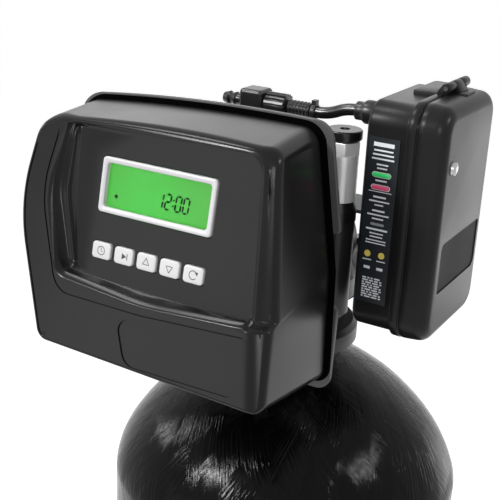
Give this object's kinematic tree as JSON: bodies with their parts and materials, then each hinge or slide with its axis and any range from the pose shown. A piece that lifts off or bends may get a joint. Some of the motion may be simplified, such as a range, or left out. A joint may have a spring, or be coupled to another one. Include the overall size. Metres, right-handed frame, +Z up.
{
  "type": "ozone water treatment system",
  "caption": "Tall filament-wound filter tank with a motorised control valve and display head on its neck, and a hinged ozone generator box beside it, joined by a short hose.",
  "frame": {"origin": "on the floor under the tank's axis, at the underside of the boot", "axes": "+Z up along the tank, -Y towards the display, +X towards the ozone box"},
  "size_m": [0.312, 0.3727, 1.4683],
  "materials": {
    "wound_tank": "resin-wound glass fibre, glossy",
    "boot_black": "moulded, fine grain",
    "pipe_white": "plain moulded",
    "gravel": "graded quartz",
    "carbon": "granular carbon",
    "seal_rubber": "moulded seal",
    "valve_black": "glass-filled, satin",
    "piston_grey": "machined",
    "bracket_black": "satin",
    "gear_white": "acetal",
    "steel": "turned stainless",
    "gear_brass": "turned",
    "motor_steel": "zinc plated",
    "board_green": "solder mask",
    "display_green": "backlit",
    "bezel_white": "satin moulding",
    "lens_clear": "clear window",
    "key_white": "satin keys",
    "head_black": "satin moulding",
    "nut_black": "moulded",
    "box_black": "satin moulding",
    "screw_chrome": "polished",
    "label_blue": "printed film",
    "lamp_green": "lit lens",
    "lamp_red": "lit lens",
    "cell_aluminium": "anodised",
    "hose_rubber": "smooth hose",
    "tie_black": "nylon"
  },
  "bodies": {
    "base": {"tank_shell": "wound_tank", "tank_boot": "boot_black", "riser_tube": "pipe_white", "lower_basket": "pipe_white", "upper_basket": "pipe_white", "gravel_bed": "gravel", "media_bed": "carbon", "neck_seal": "seal_rubber", "valve_body": "valve_black", "spacer_stack": "pipe_white", "drive_cap": "valve_black", "drive_bracket": "bracket_black", "gear_axle": "steel", "drive_motor": "motor_steel", "circuit_board": "board_green", "lcd_module": "display_green", "inlet_adapter": "valve_black", "outlet_adapter": "valve_black", "union_nuts": "nut_black", "turbine_cage": "pipe_white", "drain_elbow": "nut_black", "elbow_nut": "nut_black", "check_elbow": "nut_black", "check_body": "steel", "check_collar": "steel", "check_cap": "nut_black", "box_shell": "box_black", "box_gasket": "seal_rubber", "hinge_pin": "bracket_black", "label_plate": "label_blue", "power_lamp": "lamp_green", "cycle_lamp": "lamp_red", "power_board": "board_green", "transformer": "motor_steel", "ozone_cell": "cell_aluminium", "air_pump": "bracket_black", "hose_fitting": "nut_black", "power_inlet": "nut_black", "box_bracket": "bracket_black", "bracket_screws": "screw_chrome", "ozone_hose": "hose_rubber", "hose_sleeve": "hose_rubber", "cable_tie": "tie_black"},
    "cover": {"front_cover": "head_black", "lcd_bezel": "bezel_white", "lcd_lens": "lens_clear"},
    "clock_key": {"clock_button": "key_white"},
    "next_key": {"next_button": "key_white"},
    "up_key": {"up_button": "key_white"},
    "down_key": {"down_button": "key_white"},
    "cycle_key": {"cycle_button": "key_white"},
    "drive_gear": {"main_gear": "gear_white"},
    "wheel": {"reduction_gear": "gear_white"},
    "pinion": {"motor_pinion": "gear_brass"},
    "piston": {"main_piston": "piston_grey"},
    "turbine": {"meter_turbine": "gear_white"},
    "lid": {"box_lid": "box_black", "lid_screw": "screw_chrome"}
  },
  "joints": [
    {"name": "cover_pull", "type": "slide", "parent": "base", "child": "cover", "axis": [0, -0.9809, 0.1947], "range_m": [0, 0.12]},
    {"name": "clock_press", "type": "slide", "parent": "base", "child": "clock_key", "axis": [0, 0.9809, -0.1947], "range_m": [0, 0.001], "stiffness_N_per_m": 500, "springref_m": -0.001},
    {"name": "next_press", "type": "slide", "parent": "base", "child": "next_key", "axis": [0, 0.9809, -0.1947], "range_m": [0, 0.001], "stiffness_N_per_m": 500, "springref_m": -0.001},
    {"name": "up_press", "type": "slide", "parent": "base", "child": "up_key", "axis": [0, 0.9809, -0.1947], "range_m": [0, 0.001], "stiffness_N_per_m": 500, "springref_m": -0.001},
    {"name": "down_press", "type": "slide", "parent": "base", "child": "down_key", "axis": [0, 0.9809, -0.1947], "range_m": [0, 0.001], "stiffness_N_per_m": 500, "springref_m": -0.001},
    {"name": "cycle_press", "type": "slide", "parent": "base", "child": "cycle_key", "axis": [0, 0.9809, -0.1947], "range_m": [0, 0.001], "stiffness_N_per_m": 500, "springref_m": -0.001},
    {"name": "gear_spin", "type": "hinge", "parent": "base", "child": "drive_gear", "pos_m": [0, -0.115, 1.313], "axis": [0, 1, 0], "range_deg": [0, 720]},
    {"name": "wheel_spin", "type": "hinge", "parent": "base", "child": "wheel", "pos_m": [-0.04677, -0.12, 1.34], "axis": [0, 1, 0], "range_deg": [-3600, 0]},
    {"name": "pinion_spin", "type": "hinge", "parent": "base", "child": "pinion", "pos_m": [-0.08277, -0.125, 1.34], "axis": [0, 1, 0], "range_deg": [0, 10800]},
    {"name": "piston_slide", "type": "slide", "parent": "base", "child": "piston", "axis": [0, 1, 0], "range_m": [0, 0.028]},
    {"name": "turbine_spin", "type": "hinge", "parent": "base", "child": "turbine", "pos_m": [0.031, 0.062, 1.282], "axis": [0, 1, 0], "continuous": true},
    {"name": "lid_swing", "type": "hinge", "parent": "base", "child": "lid", "pos_m": [0.11815, 0.01, 1.4643], "axis": [0, -1, 0], "range_deg": [0, 110]}
  ],
  "couplings": [
    {"joint": "wheel_spin", "follows": "gear_spin", "ratio": -5},
    {"joint": "pinion_spin", "follows": "gear_spin", "ratio": 15},
    {"joint": "piston_slide", "follows": "gear_spin", "m_per_rad": 0.002228}
  ]
}
